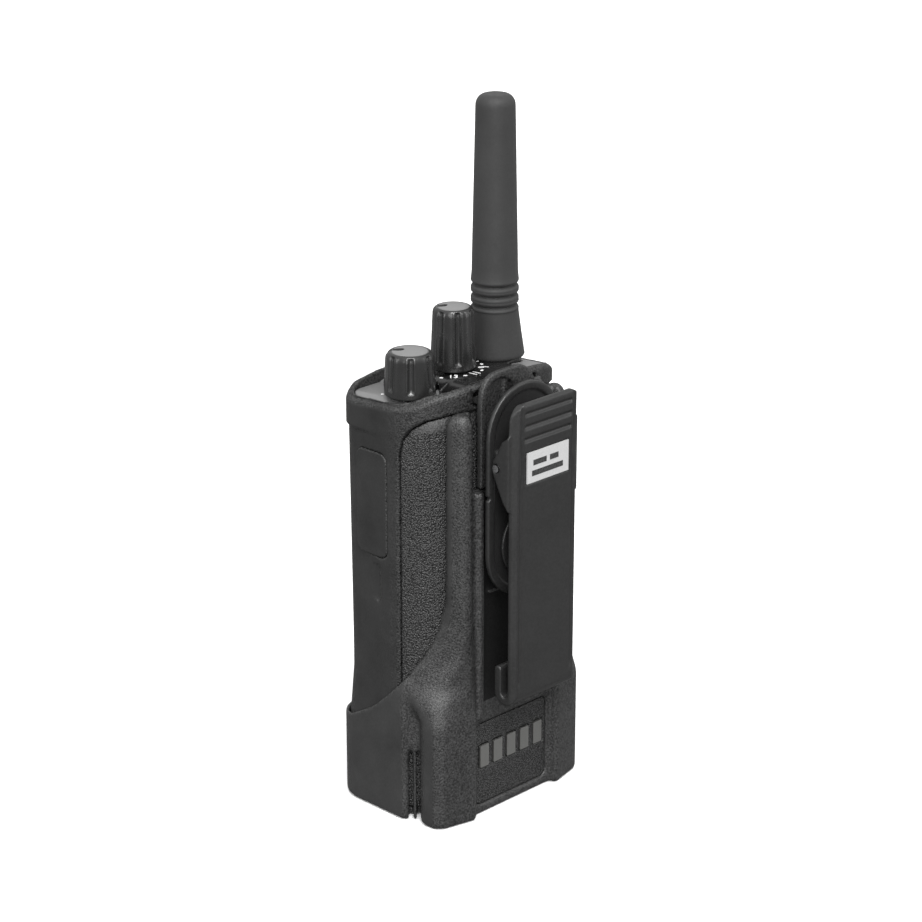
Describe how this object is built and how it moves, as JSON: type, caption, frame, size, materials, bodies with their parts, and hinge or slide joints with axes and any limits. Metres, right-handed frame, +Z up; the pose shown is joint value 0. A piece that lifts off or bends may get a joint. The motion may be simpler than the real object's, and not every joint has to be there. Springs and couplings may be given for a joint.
{
  "type": "portable two-way radio in a belt holster",
  "caption": "Handheld two-way radio with stub antenna and knobs, latched in a carry holster with a swivelling spring belt clip.",
  "frame": {"origin": "centre of the bounding box, on the flat underside of the holster", "axes": "+Z up along the antenna, +X towards the volume knob and jack cover, -Y towards the speaker, +Y towards the belt clip"},
  "size_m": [0.0596, 0.0522, 0.1917],
  "materials": {
    "housing": "fine-grained moulded plastic",
    "door": "pebble-textured moulded plastic",
    "holster": "fine-grained moulded plastic",
    "clip": "smooth satin moulded plastic",
    "gloss_black": "gloss",
    "knob": "semi-gloss",
    "knob_cap": "satin grey",
    "panel": "satin light grey",
    "antenna_rubber": "matte",
    "button_rubber": "matte",
    "steel": "bright",
    "brass": "machined",
    "magnesium": "cast",
    "pad": "dull plating",
    "label": "printed foil",
    "lens": "translucent",
    "board": "solder mask",
    "battery_wrap": "shrink wrap",
    "cloth": "woven"
  },
  "bodies": {
    "radio_in_holster": {"front_housing": "housing", "battery_door": "door", "top_panel": "panel", "dial_plate": "gloss_black", "volume_potentiometer": "magnesium", "channel_switch": "magnesium", "antenna_sheath": "antenna_rubber", "antenna_socket": "brass", "antenna_radiator": "steel", "side_switch_board": "board", "accessory_jack": "gloss_black", "status_led_lens": "lens", "chassis_plate": "magnesium", "main_board": "board", "shield_can": "magnesium", "speaker": "magnesium", "speaker_cloth": "cloth", "microphone": "steel", "battery_pack": "battery_wrap", "contact_block": "door", "holster_frame": "holster", "swivel_rivet": "clip", "chassis_screw_1": "steel", "chassis_screw_2": "steel", "chassis_screw_3": "steel", "chassis_screw_4": "steel", "charging_contact_1": "pad", "charging_contact_2": "pad", "charging_contact_3": "pad", "charging_contact_4": "pad", "charging_contact_5": "pad"},
    "volume_control": {"volume_knob": "knob", "volume_knob_cap": "knob_cap", "volume_shaft": "brass"},
    "channel_control": {"channel_knob": "knob", "channel_knob_cap": "knob_cap", "channel_shaft": "brass"},
    "talk_bar": {"ptt_button": "button_rubber"},
    "side_key_upper": {"side_button_1": "button_rubber"},
    "side_key_lower": {"side_button_2": "button_rubber"},
    "jack_cover": {"accessory_cover": "housing"},
    "tab": {"release_tab": "holster"},
    "swivel": {"swivel_plate": "clip", "torsion_spring": "steel"},
    "lever": {"clip_lever": "clip", "clip_label": "label", "pivot_pin": "steel"}
  },
  "joints": [
    {"name": "volume_turn", "type": "hinge", "parent": "radio_in_holster", "child": "volume_control", "pos_m": [0.0199, -0.0047, 0.118], "axis": [0, 0, 1], "range_deg": [-135, 135]},
    {"name": "channel_turn", "type": "hinge", "parent": "radio_in_holster", "child": "channel_control", "pos_m": [0.004, -0.0047, 0.121], "axis": [0, 0, 1], "range_deg": [-180, 157.5]},
    {"name": "ptt_press", "type": "slide", "parent": "radio_in_holster", "child": "talk_bar", "axis": [1, 0, 0], "range_m": [0, 0.0008], "stiffness_N_per_m": 2000, "springref_m": -0.001},
    {"name": "side_key_upper_press", "type": "slide", "parent": "radio_in_holster", "child": "side_key_upper", "axis": [1, 0, 0], "range_m": [0, 0.0006], "stiffness_N_per_m": 1500, "springref_m": -0.0008},
    {"name": "side_key_lower_press", "type": "slide", "parent": "radio_in_holster", "child": "side_key_lower", "axis": [1, 0, 0], "range_m": [0, 0.0006], "stiffness_N_per_m": 1500, "springref_m": -0.0008},
    {"name": "jack_cover_open", "type": "hinge", "parent": "radio_in_holster", "child": "jack_cover", "pos_m": [0.0285, -0.0107, 0.0736], "axis": [0, 1, 0], "range_deg": [0, 110]},
    {"name": "tab_flex", "type": "hinge", "parent": "radio_in_holster", "child": "tab", "pos_m": [0, 0.012, 0.0938], "axis": [-1, 0, 0], "range_deg": [0, 4], "stiffness_Nm_per_rad": 2, "springref_deg": -1.72},
    {"name": "clip_swivel", "type": "hinge", "parent": "radio_in_holster", "child": "swivel", "pos_m": [0, 0.017, 0.078], "axis": [0, 1, 0], "continuous": true},
    {"name": "lever_open", "type": "hinge", "parent": "swivel", "child": "lever", "pos_m": [0, 0.0197, 0.1014], "axis": [1, 0, 0], "range_deg": [0, 15], "stiffness_Nm_per_rad": 1.2, "springref_deg": -11.46}
  ]
}
